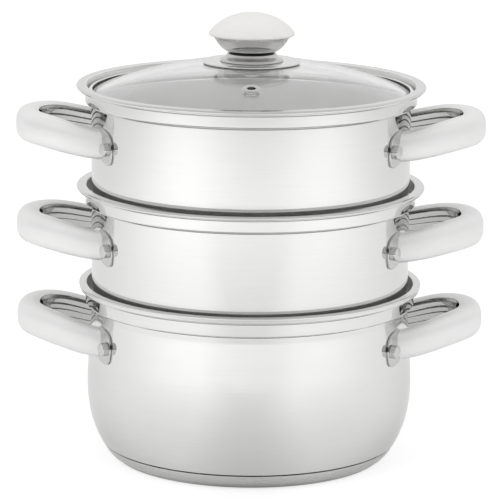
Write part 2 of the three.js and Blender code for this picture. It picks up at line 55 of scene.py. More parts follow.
def highCorner(node):
    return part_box(node)[1] / mm


def centredBox(node):
    # bottom, top and radius of a node
    return lowCorner(node).z, highCorner(node).z, highCorner(node).x


# The camera stands in front, a little above the lid, and is rolled by half a degree.
cameraSet = {"distance": 1750, "height": 488.74, "lookDown": 11.93, "roll": 0.49, "lens": 225.2, "sensor": 36}


def makeCamera():
    data = bpy.data.cameras.new("camera")
    data.lens = cameraSet["lens"]
    data.sensor_width = cameraSet["sensor"]
    data.clip_end = 50
    camera = bpy.data.objects.new("camera", data)
    scene.collection.objects.link(camera)
    tilt = Matrix.Rotation(math.radians(90 - cameraSet["lookDown"]), 4, "X")
    roll = Matrix.Rotation(math.radians(cameraSet["roll"]), 4, "Z")
    place = Matrix.Translation((0, -cameraSet["distance"] * mm, cameraSet["height"] * mm))
    camera.matrix_world = place @ tilt @ roll
    scene.camera = camera


makeCamera()


# Node helpers
def feed(tree, socket, value):
    # links an output, or a node's first one, or sets a plain number or colour
    if isinstance(value, bpy.types.Node):
        value = value.outputs[0]
    if isinstance(value, bpy.types.NodeSocket):
        tree.links.new(value, socket)
    elif isinstance(value, (int, float)):
        socket.default_value = value
    else:
        socket.default_value = (*value, 1)


def setInputs(tree, node, **values):
    for name, value in values.items():
        feed(tree, node.inputs[name.replace("_", " ")], value)


def addNode(tree, kind, *inputs, **named):
    # inputs go to the sockets in their order; a named value with a small first letter is a setting
    node = tree.nodes.new(kind)
    for name in [name for name in named if name[0].islower()]:
        setattr(node, name, named.pop(name))
    for socket, value in zip(node.inputs, inputs):
        feed(tree, socket, value)
    setInputs(tree, node, **named)
    return node


def mathNode(tree, operation, *values):
    return addNode(tree, "ShaderNodeMath", *values, operation=operation).outputs[0]


def times(tree, first, second):
    return mathNode(tree, "MULTIPLY", first, second)


def mixColour(tree, factor, first, second):
    node = addNode(tree, "ShaderNodeMix", factor, data_type="RGBA")
    feed(tree, node.inputs[6], first)
    feed(tree, node.inputs[7], second)
    return node.outputs[2]


def mapRange(tree, value, *limits):
    # limits are the two values given and the two that they become
    return addNode(tree, "ShaderNodeMapRange", value, *limits, interpolation_type="SMOOTHSTEP").outputs[0]


def emptyTree(owner):
    owner.use_nodes = True
    owner.node_tree.nodes.clear()
    return owner.node_tree


def angleRamp(tree, angle, limits):
    # 0 to 1 between two angles in degrees
    return mapRange(tree, angle, math.radians(limits[0]), math.radians(limits[1]), 0, 1)


def sideAngle(tree, place):
    # how far to the side a place lies, from straight in front
    x, y = addNode(tree, "ShaderNodeSeparateXYZ", place).outputs[:2]
    return mathNode(tree, "ARCTAN2", mathNode(tree, "ABSOLUTE", x), times(tree, y, -1.0))


def seenDirectly(tree, path):
    # 1 for what the camera sees, also through the glass
    return mathNode(tree, "MAXIMUM", path["Is Camera Ray"], path["Is Transmission Ray"])


# The studio: a white floor under three soft boxes, in a room with a dark foot and a pale back wall.
# Lengths here are in metres, directions in degrees.
studio = {
    "floorRadius": 9,
    "floorDrop": 0.0002,
    "floorTone": 0.96,
    # painted shade: the floor's tone near the pot, rising to floorTone over floorFade
    "floorNearShade": 0.84,
    "floorFade": (0.085, 1.0),
    # painted shadow: the floor's tone is lowered straight in front of the pot, within frontWidth and nearer
    # than frontFade
    "frontPaintedShade": 0.8,
    "frontWidth": (3, 34),
    "frontFade": (0.35, 1.0),
    "floorGain": 0.5,
    "floorLift": 0.7,
    "mirroredShare": 0.15,
    "skirting": (3, 6),
    "skirtingTone": 0.04,
    "wallTop": (26, 44),
    "wallTone": 0.72,
    "ceilingTone": 0.6,
    "middleWidth": (15, 45),
    "middleTone": 0.6,
    "backdrop": (82, 112),
    "backdropTone": 0.8,
}
softBoxes = {
    "leftBox": {
        "at": (-0.8, -0.8, 1.0), "aim": (-0.55, -0.5, 0), "size": (0.8, 0.8), "power": 4.0, "spread": 130,
    },
    "rightBox": {
        "at": (0.9, -0.75, 1.0), "aim": (0.6, -0.47, 0), "size": (0.8, 0.8), "power": 3.3, "spread": 130,
    },
    "topBox": {
        "at": (0, 0.15, 2.1), "aim": (0, 0, 0.12), "size": (1.6, 1.2), "power": 3.0, "spread": 180,
    },
}


def floorShader(tree, gain, fade, clear):
    # painted shade on the floor: its tone is lower near the pot and rises with the distance, and a painted
    # shadow lowers it straight in front of the pot
    tones = [studio[name] * gain for name in ("floorNearShade", "floorTone")]
    shaded, plain = (
        mixColour(tree, fade, *((tone * shade,) * 3 for tone in tones)) for shade in (studio["frontPaintedShade"], 1)
    )
    return addNode(tree, "ShaderNodeBsdfDiffuse", mixColour(tree, clear, shaded, plain))


def makeFloor():
    bpy.ops.mesh.primitive_circle_add(vertices=96, radius=studio["floorRadius"], fill_type="NGON")
    floor = bpy.context.object
    floor.name = "studioFloor"
    floor.data.transform(Matrix.Translation((0, 0, -studio["floorDrop"])))
    material = bpy.data.materials.new("studioFloor")
    tree = emptyTree(material)
    place = addNode(tree, "ShaderNodeTexCoord").outputs["Object"]
    distance = addNode(tree, "ShaderNodeVectorMath", place, operation="LENGTH").outputs["Value"]
    # painted shade near the pot, fading out with the distance
    fade = mapRange(tree, distance, *studio["floorFade"], 0, 1)
    # painted shadow straight in front of the pot, cleared to the sides and further away
    aside = angleRamp(tree, sideAngle(tree, place), studio["frontWidth"])
    clear = mathNode(tree, "MAXIMUM", aside, mapRange(tree, distance, *studio["frontFade"], 0, 1))
    plain = floorShader(tree, 1.0, fade, clear)
    # seen by the camera the floor is white, and keeps the object's shadow
    dimmed = floorShader(tree, studio["floorGain"], fade, clear)
    lift = addNode(tree, "ShaderNodeEmission", Strength=studio["floorLift"])
    lifted = addNode(tree, "ShaderNodeAddShader", dimmed, lift)
    path = addNode(tree, "ShaderNodeLightPath").outputs
    mirrored = times(tree, path["Is Glossy Ray"], studio["mirroredShare"])
    seen = mathNode(tree, "MAXIMUM", seenDirectly(tree, path), mirrored)
    mix = addNode(tree, "ShaderNodeMixShader", seen, plain, lifted)
    addNode(tree, "ShaderNodeOutputMaterial", mix)
    floor.data.materials.append(material)


def makeWorld():
    world = bpy.data.worlds.new("studioWorld")
    scene.world = world
    tree = emptyTree(world)
    place = addNode(tree, "ShaderNodeTexCoord").outputs["Generated"]
    sideways = sideAngle(tree, place)
    upwards = mathNode(tree, "ARCSINE", addNode(tree, "ShaderNodeSeparateXYZ", place).outputs["Z"])
    tones = ((studio[name + "Tone"],) * 3 for name in ("skirting", "middle", "wall", "ceiling", "backdrop"))
    skirting, middle, wall, ceiling, backdrop = tones
    level = mixColour(tree, angleRamp(tree, sideways, studio["middleWidth"]), middle, wall)
    level = mixColour(tree, angleRamp(tree, upwards, studio["skirting"]), skirting, level)
    level = mixColour(tree, angleRamp(tree, upwards, studio["wallTop"]), level, ceiling)
    level = mixColour(tree, angleRamp(tree, sideways, studio["backdrop"]), level, backdrop)
    seen = seenDirectly(tree, addNode(tree, "ShaderNodeLightPath").outputs)
    background = addNode(tree, "ShaderNodeBackground", mixColour(tree, seen, level, (1, 1, 1)))
    addNode(tree, "ShaderNodeOutputWorld", background)


def makeSoftBoxes():
    for name, box in softBoxes.items():
        data = bpy.data.lights.new(name, "AREA")
        data.shape = "RECTANGLE"
        data.size, data.size_y = box["size"]
        data.energy = box["power"]
        data.spread = math.radians(box["spread"])
        lamp = bpy.data.objects.new(name, data)
        scene.collection.objects.link(lamp)
        lamp.location = box["at"]
        lamp.visible_glossy = False  # the steel shows the lit floor, not the lamps
        lamp.rotation_euler = (Vector(box["aim"]) - lamp.location).to_track_quat("-Z", "Y").to_euler()


makeFloor()
makeWorld()
makeSoftBoxes()
print("studio ready")


# Finishes
turnedFinish = {
    "innermost": 0.0005,
    "sweep": 3.0,
    "clouds": 28.0,
    "cloudSpan": (0.35, 0.65),
    "cloudRoughness": (0.9, 1.12),
    "streakSpan": (0.3, 0.7),
    "streakRoughness": (0.94, 1.06),
    "toneSpan": (0.25, 0.75),
    "darker": 0.965,
    "relief": 0.00003,
    "quarterTurn": 0.25,
}
plainFinish = {
    "span": (0.3, 0.7),
    "mottle": 0.06,
    "lighter": 1.12,
    "lift": 0.002,
    "bump": 0.15,
    "relief": 0.00005,
}


def turnedGrainGroup():
    # fine lines round the Z axis, and soft clouds
    group = bpy.data.node_groups.new("turnedGrain", "ShaderNodeTree")
    for name, way, kind in (
        ("Vector", "INPUT", "Vector"), ("Lines", "INPUT", "Float"), ("Grain", "OUTPUT", "Float"),
        ("Cloud", "OUTPUT", "Float"),
    ):
        group.interface.new_socket(name, in_out=way, socket_type="NodeSocket" + kind)
    given = addNode(group, "NodeGroupInput").outputs
    x, y, z = addNode(group, "ShaderNodeSeparateXYZ", given["Vector"]).outputs
    squares = mathNode(group, "ADD", times(group, x, x), times(group, y, y))
    radius = mathNode(group, "SQRT", squares)
    safe = mathNode(group, "MAXIMUM", radius, turnedFinish["innermost"])
    turns = (mathNode(group, "DIVIDE", part, safe) for part in (x, y))
    sweeps = (times(group, turn, turnedFinish["sweep"]) for turn in turns)
    along, outwards = (times(group, part, given["Lines"]) for part in (z, radius))
    around = addNode(group, "ShaderNodeCombineXYZ", *sweeps, along)
    grain = addNode(group, "ShaderNodeTexNoise", noise_dimensions="4D", Vector=around, W=outwards)
    setInputs(group, grain, Scale=1.0, Detail=2.0, Roughness=0.6)
    cloud = addNode(group, "ShaderNodeTexNoise", Vector=given["Vector"], Scale=turnedFinish["clouds"])
    setInputs(group, cloud, Detail=2.0, Roughness=0.5)
    addNode(group, "NodeGroupOutput", Grain=grain, Cloud=cloud)
    return group


turnedGrain = turnedGrainGroup()


def newMaterial(name):
    material = bpy.data.materials.new(name)
    material.use_nodes = True
    return material, material.node_tree, material.node_tree.nodes["Principled BSDF"]


def addBump(tree, shader, height, strength, distance):
    relief = addNode(tree, "ShaderNodeBump", Strength=strength, Distance=distance, Height=height)
    setInputs(tree, shader, Normal=relief)


def steelMaterial(name, colour, polished, satin=0.2, lines=2600.0, bump=0.03, stretch=0.0, metallic=1.0):
    # satin and polished are roughnesses; the mesh's satin attribute says which one a place has
    material, tree, shader = newMaterial(name)
    place = addNode(tree, "ShaderNodeTexCoord").outputs["Object"]
    given = addNode(tree, "ShaderNodeGroup", node_tree=turnedGrain, Vector=place, Lines=lines).outputs
    mask = addNode(tree, "ShaderNodeAttribute", attribute_name="satin").outputs["Fac"]
    base = mapRange(tree, mask, 0, 1, polished, satin)
    cloud = mapRange(tree, given["Cloud"], *turnedFinish["cloudSpan"], *turnedFinish["cloudRoughness"])
    streak = mapRange(tree, given["Grain"], *turnedFinish["streakSpan"], *turnedFinish["streakRoughness"])
    rough = times(tree, base, times(tree, cloud, streak))
    darker = tuple(c * turnedFinish["darker"] for c in colour)
    tone = mixColour(tree, mapRange(tree, given["Grain"], *turnedFinish["toneSpan"], 0, 1), darker, colour)
    setInputs(tree, shader, Base_Color=tone, Roughness=rough, Metallic=metallic, Anisotropic=stretch)
    setInputs(tree, shader, Anisotropic_Rotation=turnedFinish["quarterTurn"])
    addBump(tree, shader, times(tree, given["Grain"], mask), bump, turnedFinish["relief"])
    return material


def plainMaterial(name, colour, roughness, metallic=0.0, scale=350.0):
    material, tree, shader = newMaterial(name)
    place = addNode(tree, "ShaderNodeTexCoord").outputs["Object"]
    noise = addNode(tree, "ShaderNodeTexNoise", Vector=place, Scale=scale, Detail=3.0)
    mottle = plainFinish["mottle"]
    rough = mapRange(tree, noise, *plainFinish["span"], roughness - mottle, roughness + mottle)
    lighter = tuple(min(c * plainFinish["lighter"] + plainFinish["lift"], 1) for c in colour)
    tone = mixColour(tree, noise, colour, lighter)
    setInputs(tree, shader, Base_Color=tone, Roughness=rough, Metallic=metallic)
    addBump(tree, shader, noise, plainFinish["bump"], plainFinish["relief"])
    return material


def glassMaterial():
    material, tree, shader = newMaterial("clearGlass")
    setInputs(tree, shader, Base_Color=(0.985, 0.99, 0.988), Roughness=0.0, IOR=1.48, Transmission_Weight=1.0)
    return material


wallSteel = steelMaterial("turnedSteel", (0.78, 0.78, 0.774), 0.045, satin=0.08, bump=0.08, stretch=0.3)
insideSteel = steelMaterial("insideSatin", (0.95, 0.95, 0.943), 0.36, satin=0.36, bump=0.08, metallic=0.65)
baseSteel = steelMaterial("baseSteel", (0.7, 0.7, 0.692), 0.14, satin=0.26, lines=1500.0, stretch=0.3)
handleSteel = steelMaterial("handleSatin", (0.9, 0.9, 0.895), 0.45, satin=0.45, metallic=0.58)
innerSteel = steelMaterial("handleMirror", (0.62, 0.62, 0.61), 0.05)
mirrorSteel = steelMaterial("mirrorSteel", (0.66, 0.66, 0.653), 0.055)
capSteel = steelMaterial(
    "capSatin", (0.93, 0.923, 0.91), 0.25, satin=0.45, lines=3200.0, bump=0.08, metallic=0.55,
)
ringSteel = steelMaterial("ringSteel", (0.9, 0.9, 0.893), 0.12, metallic=0.6)
flangeSteel = steelMaterial("flangeSteel", (0.84, 0.84, 0.833), 0.07)
knobSteel = steelMaterial("knobSteel", (0.66, 0.657, 0.645), 0.06)
blackSeal = plainMaterial("blackSilicone", (0.012, 0.012, 0.012), 0.55)
blackPlastic = plainMaterial("blackPlastic", (0.008, 0.008, 0.008), 0.32, scale=900.0)
rolledAluminium = plainMaterial("rolledAluminium", (0.72, 0.73, 0.74), 0.45, metallic=1.0)
clearGlass = glassMaterial()
print("finishes ready")


# Shapes turned about the stack's axis
def arcSamples(here, before, after, rounding, steps):
    toBefore, toAfter = before - here, after - here
    half = toBefore.angle(toAfter) / 2
    if half > math.pi / 2 - 0.001 or not rounding:
        return [here]
    reach = min(rounding / math.tan(half), 0.48 * toBefore.length, 0.48 * toAfter.length)
    radius = reach * math.tan(half)
    start = here + toBefore.normalized() * reach
    middle = (toBefore.normalized() + toAfter.normalized()).normalized()
    centre = here + middle * (radius / math.sin(half))
    sweep = math.pi - 2 * half
    if toBefore.x * toAfter.y - toBefore.y * toAfter.x > 0:
        sweep = -sweep
    return [centre + Matrix.Rotation(sweep * i / steps, 2) @ (start - centre) for i in range(steps + 1)]


def roundedLine(corners, steps=6):
    # corners are (radius, height, round), sharp where no round is given
    places = [Vector(c[:2]) for c in corners]
    line = [places[0]]
    for i, corner in enumerate(corners[1:-1], 1):
        rounding = corner[2] if len(corner) > 2 else 0
        line += arcSamples(places[i], places[i - 1], places[i + 1], rounding, steps)
    return [*line, places[-1]]


def splineAt(a, b, c, d, t):
    # a smooth curve from b, where t is 0, to c, where t is 1
    bend, twist = 2 * a - 5 * b + 4 * c - d, 3 * b - a - 3 * c + d
    return 0.5 * (2 * b + (c - a) * t + bend * t * t + twist * t ** 3)


def smoothThrough(points, steps=6):
    # a smooth line through the given points
    places = [Vector(p) for p in points]
    ends = [2 * places[0] - places[1], *places, 2 * places[-1] - places[-2]]
    spans = zip(ends, ends[1:], ends[2:], ends[3:])
    return [*(splineAt(*span, i / steps) for span in spans for i in range(steps)), places[-1]]


def supported(line, near=0.3, span=8):
    # extra points close to the ends of long straight runs keep the shading crisp
    made = [line[0]]
    for a, b in zip(line, line[1:]):
        length = (b - a).length
        if length > 4 * near:
            inner = max(1, round(length / span))
            marks = [near / length, *(i / inner for i in range(1, inner)), 1 - near / length]
            made.extend(a.lerp(b, share) for share in marks)
        made.append(b)
    return made


def ringLine(start, corners, near, span, steps=6):
    # a line that closes on itself at its start
    return supported(roundedLine([start, *corners, start], steps)[:-1], near, span)


def drawnIn(line, gauge):
    # the other face of the sheet, listed backwards
    made = []
    for i, place in enumerate(line):
        along = (line[min(i + 1, len(line) - 1)] - line[max(i - 1, 0)]).normalized()
        made.append(Vector((max(place.x - along.y * gauge, 0), place.y + along.x * gauge)))
    return made[::-1]


def builtMesh(name, verts, faces, kinds):
    # kinds are the faces' material numbers
    mesh = bpy.data.meshes.new(name)
    mesh.from_pydata(verts, [], faces)
    mesh.polygons.foreach_set("material_index", kinds)
    work = bmesh.new()
    work.from_mesh(mesh)
    bmesh.ops.remove_doubles(work, verts=work.verts, dist=1e-7)
    bmesh.ops.recalc_face_normals(work, faces=work.faces)
    work.to_mesh(mesh)
    work.free()
    return mesh


def tubeFaces(around, rings):
    faces = []
    for i in range(rings - 1):
        for j in range(around):
            k = (j + 1) % around
            faces.append((i * around + j, i * around + k, (i + 1) * around + k, (i + 1) * around + j))
    return faces


def turnedMesh(name, line, segments, satinAt=None, insideFrom=None):
    # a closed line of (radius, height) that meets the axis at both ends or closes on itself
    # faces past the place insideFrom in the line take the second material
    verts, rings = [], []
    for place in line:
        pole = place.x < 1e-4
        rings.append((len(verts), pole))
        if pole:
            verts.append((0, 0, place.y * mm))
            continue
        for j in range(segments):
            turn = 2 * math.pi * j / segments
            verts.append((place.x * math.cos(turn) * mm, place.x * math.sin(turn) * mm, place.y * mm))
    faces, kinds = [], []
    pairs = list(zip(rings, rings[1:]))
    if not (rings[0][1] and rings[-1][1]):
        pairs.append((rings[-1], rings[0]))
    for i, ((first, firstPole), (second, secondPole)) in enumerate(pairs):
        if firstPole and secondPole:
            continue
        kinds += [int(insideFrom is not None and i >= insideFrom)] * segments
        for j in range(segments):
            k = (j + 1) % segments
            lower = (first,) if firstPole else (first + j, first + k)
            upper = (second,) if secondPole else (second + k, second + j)
            faces.append(lower + upper)
    mesh = builtMesh(name, verts, faces, kinds)
    if satinAt is not None:
        layer = mesh.attributes.new("satin", "FLOAT", "POINT")
        layer.data.foreach_set("value", [satinAt(v.co.xy.length / mm, v.co.z / mm) for v in mesh.vertices])
    return mesh


def insideStart(line):
    # the last of the highest places, where the line turns inwards
    top = max(p.y for p in line)
    return max(i for i, p in enumerate(line) if p.y > top - 1e-4)


def smoothed(mesh, angle=38):
    mesh.shade_smooth()
    mesh.set_sharp_from_angle(angle=math.radians(angle))


def newObject(name, mesh):
    piece = bpy.data.objects.new(name, mesh)
    scene.collection.objects.link(piece)
    return piece


def shadedObject(name, mesh, materials, angle=38):
    smoothed(mesh, angle)
    for material in materials:
        mesh.materials.append(material)
    return newObject(name, mesh)


def pieceName(node):
    # a node called pot_base_cap gives a piece called potBaseCap
    first, *others = node.split("_")
    return first + "".join(word.title() for word in others)


def settle(piece, body, slot, *nodes):
    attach(piece, body)
    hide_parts(*nodes)


def turnedPiece(node, line, material, slot, segments, body="lid", satinAt=None, place=None, inside=None):
    name = pieceName(node)
    mesh = turnedMesh(name, line, segments, satinAt, insideStart(line) if inside else None)
    if place is not None:
        mesh.transform(place)
    settle(shadedObject(name, mesh, [material, inside] if inside else [material]), body, slot, node)


# The sheet bodies of the three tiers
rim = {
    "wallRadius": 90.5,
    "wallRound": 4,
    "gauge": 0.8,
    "collarReach": 3.5,
    "collarRound": 0.6,
    "coveDepth": 0.2,
    "coveHeight": 1.0,
    "coveRound": 0.4,
    "shelfRise": 0.2,
    "crease": 0.2,
    "lipCoveRound": 3,
    "mouthRound": 0.5,
    "ledgeRound": 0.9,
    "throatRound": 0.7,
    "satinGap": 0.4,
}
rolledLip = {"thickness": 2.1, "round": 1.0, "coveDepth": 0.4, "coveHeight": 1.4, "collarFoot": 9.5}
flatLip = {
    "thickness": 1.2, "round": 0.5, "coveDepth": 0.4, "coveHeight": 1.5, "collarFoot": 10.9,
    "beadEdge": 7.0, "beadThickness": 1.8, "beadRound": 0.9, "beadSlope": 0.3,
}


def rimCorners(lipEdge, lipTop, lip):
    # up the outside from the wall to the lip, and down the inside
    wall, gauge, crease = rim["wallRadius"], rim["gauge"], rim["crease"]
    collar, foot, lipFoot = wall + rim["collarReach"], lipTop - lip["collarFoot"], lipTop - lip["thickness"]
    throat = foot - gauge
    bulge, bead = lipFoot, []
    if "beadEdge" in lip:
        beadEdge = wall + lip["beadEdge"]
        bulge = lipFoot - lip["beadThickness"]
        bead = [(beadEdge, bulge, lip["beadRound"]), (beadEdge - lip["beadSlope"], lipFoot, crease)]
    return [
        (wall, throat - rim["coveHeight"], rim["wallRound"]),
        (wall - rim["coveDepth"], throat, rim["coveRound"]),
        (collar - rim["collarRound"], throat + rim["shelfRise"], crease),
        (collar, foot, rim["collarRound"]),
        (collar, bulge - lip["coveHeight"], rim["lipCoveRound"]),
        (collar - lip["coveDepth"], bulge, crease),
        *bead,
        (lipEdge, lipFoot, lip["round"]),
        (lipEdge, lipTop, lip["round"]),
        (collar - gauge, lipTop, rim["mouthRound"]),
        (collar - gauge, foot + gauge, rim["ledgeRound"]),
        (wall - rim["coveDepth"] - gauge, foot + gauge, rim["throatRound"]),
        (wall - gauge, throat - rim["coveHeight"], rim["wallRound"]),
    ]


def shellLine(skin, lipEdge, lipTop, lip):
    # skin is the outside from the axis to the wall under the rim
    corners = rimCorners(lipEdge, lipTop, lip)
    rimLine = roundedLine([tuple(skin[-1]), *corners, (rim["wallRadius"] - rim["gauge"], skin[-1].y)])
    return supported([*skin[:-1], *rimLine[:-1], *drawnIn(skin, rim["gauge"])])


potBody = {
    "floorRadius": 74,
    "floorRound": 4,
    "heel": (80.6, 8.95, 1.5),
    "foot": (84.9, 9.4, 0.5),
    "belly": [(87.6, 14.9), (90.6, 23.3), (92.45, 33.5), (93, 44), (92.6, 56), (91.6, 70), (90.8, 81)],
    "shoulderTop": 85.5,
}


def bellyLine():
    return smoothThrough([*potBody["belly"], (rim["wallRadius"], potBody["shoulderTop"])])


def makePotShell():
    floor, lipTop, lipEdge = centredBox("pot_shell")
    base = [(0, floor), (potBody["floorRadius"], floor, potBody["floorRound"])]
    heel = roundedLine([*base, potBody["heel"], potBody["foot"], potBody["belly"][0]])
    line = shellLine([*heel[:-1], *bellyLine()], lipEdge, lipTop, flatLip)

    def satinAt(radius, height):
        return 1.0 if height < lipTop - flatLip["collarFoot"] - rim["satinGap"] else 0.0

    turnedPiece("pot_shell", line, wallSteel, "satin_steel", 224, "pot", satinAt, inside=insideSteel)


def geometryGroup(name, sockets):
    # a group that takes a geometry and the named values, what the modifier calls these, and the values
    group = bpy.data.node_groups.new(name, "GeometryNodeTree")
    for way in ("INPUT", "OUTPUT"):
        group.interface.new_socket("Geometry", in_out=way, socket_type="NodeSocketGeometry")
    ids = {}
    for title, kind in sockets.items():
        socket = group.interface.new_socket(title, in_out="INPUT", socket_type="NodeSocket" + kind)
        ids[title] = socket.identifier
    return group, ids, addNode(group, "NodeGroupInput").outputs


def finishGroup(group, geometry, **paint):
    # every tree ends in real geometry with its material on it
    real = addNode(group, "GeometryNodeRealizeInstances", geometry)
    addNode(group, "NodeGroupOutput", addNode(group, "GeometryNodeSetMaterial", real, **paint))


def keepResult(piece, modifier):
    # the modifier's result becomes the plain mesh, and the modifier goes
    bpy.context.view_layer.update()
    evaluated = piece.evaluated_get(bpy.context.evaluated_depsgraph_get())
    mesh = bpy.data.meshes.new_from_object(evaluated)
    piece.modifiers.remove(modifier)
    piece.data = mesh


def gathered(piece, group, ids, values):
    modifier = piece.modifiers.new(group.name, "NODES")
    modifier.node_group = group
    for name, value in values.items():
        modifier[ids[name]] = value
    keepResult(piece, modifier)


steamerBody = {"footRadius": 89.3, "footRound": 2.4, "bandHeight": 12.5, "bandRound": 60, "satinFloor": 84.5}
steamHoles = {"radius": 3.0, "pitch": 20.0, "rings": 3, "sides": 28, "drillLength": 6.0}


def perforationGroup():
    # a honeycomb of holes: whole rings round the middle one
    group, ids, given = geometryGroup("steamHoles", {
        "Hole Radius": "Float", "Pitch": "Float", "Rings": "Int", "Floor Height": "Float", "Sides": "Int",
        "Steel": "Material",
    })
    pitch, rings = given["Pitch"], given["Rings"]
    across = mathNode(group, "MULTIPLY_ADD", rings, 2.0, 1.0)
    index = addNode(group, "GeometryNodeInputIndex")
    row = mathNode(group, "FLOOR", mathNode(group, "DIVIDE", index, across))
    row = mathNode(group, "SUBTRACT", row, rings)
    column = mathNode(group, "SUBTRACT", mathNode(group, "MODULO", index, across), rings)
    slant = mathNode(group, "MULTIPLY_ADD", row, 0.5, column)
    rowStep = times(group, pitch, math.sin(math.pi / 3))
    x, y = times(group, slant, pitch), times(group, row, rowStep)
    place = addNode(group, "ShaderNodeCombineXYZ", x, y, given["Floor Height"])
    count = times(group, across, across)
    points = addNode(group, "GeometryNodePoints", Count=count, Position=place)
    third = mathNode(group, "ABSOLUTE", mathNode(group, "ADD", row, column))
    outside = mathNode(group, "GREATER_THAN", third, mathNode(group, "ADD", rings, 0.5))
    trimmed = addNode(group, "GeometryNodeDeleteGeometry", points, Selection=outside)
    drill = addNode(
        group, "GeometryNodeMeshCylinder", Depth=steamHoles["drillLength"] * mm, Radius=given["Hole Radius"],
        Vertices=given["Sides"],
    )
    drills = addNode(group, "GeometryNodeInstanceOnPoints", Points=trimmed, Instance=drill)
    real = addNode(group, "GeometryNodeRealizeInstances", drills)
    cut = addNode(group, "GeometryNodeMeshBoolean", operation="DIFFERENCE", solver="MANIFOLD")
    setInputs(group, cut, Mesh_1=given["Geometry"], Mesh_2=real)
    outer = mathNode(group, "LESS_THAN", addNode(group, "GeometryNodeInputMaterialIndex"), 0.5)
    finishGroup(group, cut, Material=given["Steel"], Selection=outer)
    return group, ids


def makeSteamer(body):
    node = body + "_shell"
    name = pieceName(node)
    bottom, lipTop, lipEdge = centredBox(node)
    wallTop = lipTop - rolledLip["collarFoot"] - rim["coveHeight"] - rim["wallRound"]
    bandTop = bottom + steamerBody["bandHeight"]
    skin = roundedLine([
        (0, bottom),
        (steamerBody["footRadius"], bottom, steamerBody["footRound"]),
        (rim["wallRadius"], bandTop, steamerBody["bandRound"]),
        (rim["wallRadius"], wallTop),
    ], 10)

    def satinAt(radius, height):
        inWall = bandTop < height < lipTop - rolledLip["collarFoot"] - rim["satinGap"]
        return 1.0 if inWall or radius < steamerBody["satinFloor"] else 0.0

    line = shellLine(skin, lipEdge, lipTop, rolledLip)
    mesh = turnedMesh(name, line, 192, satinAt, insideStart(line))
    shell = shadedObject(name, mesh, [wallSteel, insideSteel])
    gathered(shell, *perforation, {
        "Hole Radius": steamHoles["radius"] * mm,
        "Pitch": steamHoles["pitch"] * mm,
        "Rings": steamHoles["rings"],
        "Floor Height": bottom * mm,
        "Sides": steamHoles["sides"],
        "Steel": wallSteel,
    })
    settle(shell, body, "satin_steel", node)


makePotShell()
perforation = perforationGroup()
makeSteamer("middle_steamer")
makeSteamer("top_steamer")
print("shells ready")


# The bonded base's cap
baseCap = {
    "gauge": 0.7,
    "bottom": (76.3, 0, 1.0),
    "side": [(79.9, 2.7), (81.95, 4.9), (83.2, 6.9)],
    "groove": 0.4,
}


def makeBaseCap():
    high, radius = centredBox("pot_base_cap")[1:]
    edge, top = radius - baseCap["groove"] / 2, high - baseCap["groove"]
    foot = roundedLine([(0, 0), baseCap["bottom"], baseCap["side"][0]])
    outside = [*foot[:-1], *smoothThrough([*baseCap["side"], (edge, top)], 5)]
    inside = drawnIn(outside, baseCap["gauge"])
    inside[0].y = top
    line = supported([*outside, *inside])
    turnedPiece("pot_base_cap", line, baseSteel, "satin_steel", 224, "pot", lambda distance, height: 1.0)


makeBaseCap()
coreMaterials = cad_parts["pot_base_core"].data.materials
coreMaterials.clear()
coreMaterials.append(rolledAluminium)


# The loop handles with their lugs
loop = {
    "rootAngle": 23.9,
    "rootInset": 3.0,
    "rootDrop": 28.4,
    "rise": {"pot": 9.0, "middle": 6.2, "top": 6.6},
    "risePower": 1.9,
    "planPower": 2.4,
    "planPinch": 0.1,
    # at the root, further out, and the share of the length where that is reached
    "height": (16.8, 18.5, 0.3),
    "thickness": (9.5, 12.9, 0.5),
    "steps": 120,
}
loopSection = {
    "crown": -0.22,
    "crownSteps": 24,
    "drop": 1.7,
    "dropPower": 1.7,
    "dropSteps": 8,
    "fullness": 2.7,
    "dish": 0.15,
    "innerSteps": 60,
    # how far the polished inner face leans back, in degrees, from its upper edge (1) to its lower edge (-1)
    "tilts": [
        (1, 10), (0.92, 8), (0.74, 7), (0.66, -3), (0.38, -5), (0.31, 8), (0.25, 7), (0.18, -6), (-0.06, -5),
        (-0.11, 8), (-0.16, 7), (-0.22, -5), (-0.56, -6), (-0.61, 8), (-0.68, 7), (-0.74, -5), (-1, -9),
    ],
}
lug = {
    "angle": 30.0,
    "thickness": 1.0,
    "clearance": 0.2,
    "sunk": -1.5,
    "armSide": 12.0,
    "freeSide": 4.1,
    "above": 9.6,
    "below": 10.0,
    "edgeRound": 0.45,
    "edgeSteps": 4,
    "outlineSteps": 6,
    "backRing": 0.5,
    "faceRings": (0.8, 0.55, 0.3),
    "shares": [
        (-1, 0.12), (-0.93, 0.03), (-0.74, 0), (-0.2, 0.05), (0.66, 0.22), (0.98, 0.48), (1, 0.74),
        (0.78, 0.91), (0.44, 0.975), (-0.1, 1), (-0.6, 0.95), (-0.84, 0.86), (-1, 0.7), (-1, 0.4),
    ],
}
# the wall that cuts the handles back reaches from here to here, measured down from the lip
wallCut = {"from": 48, "to": 14.5, "steps": 24}


def grown(place, first, last, reach):
    share = min(place / reach, 1)
    return first + (last - first) * (share * share * (3 - 2 * share))


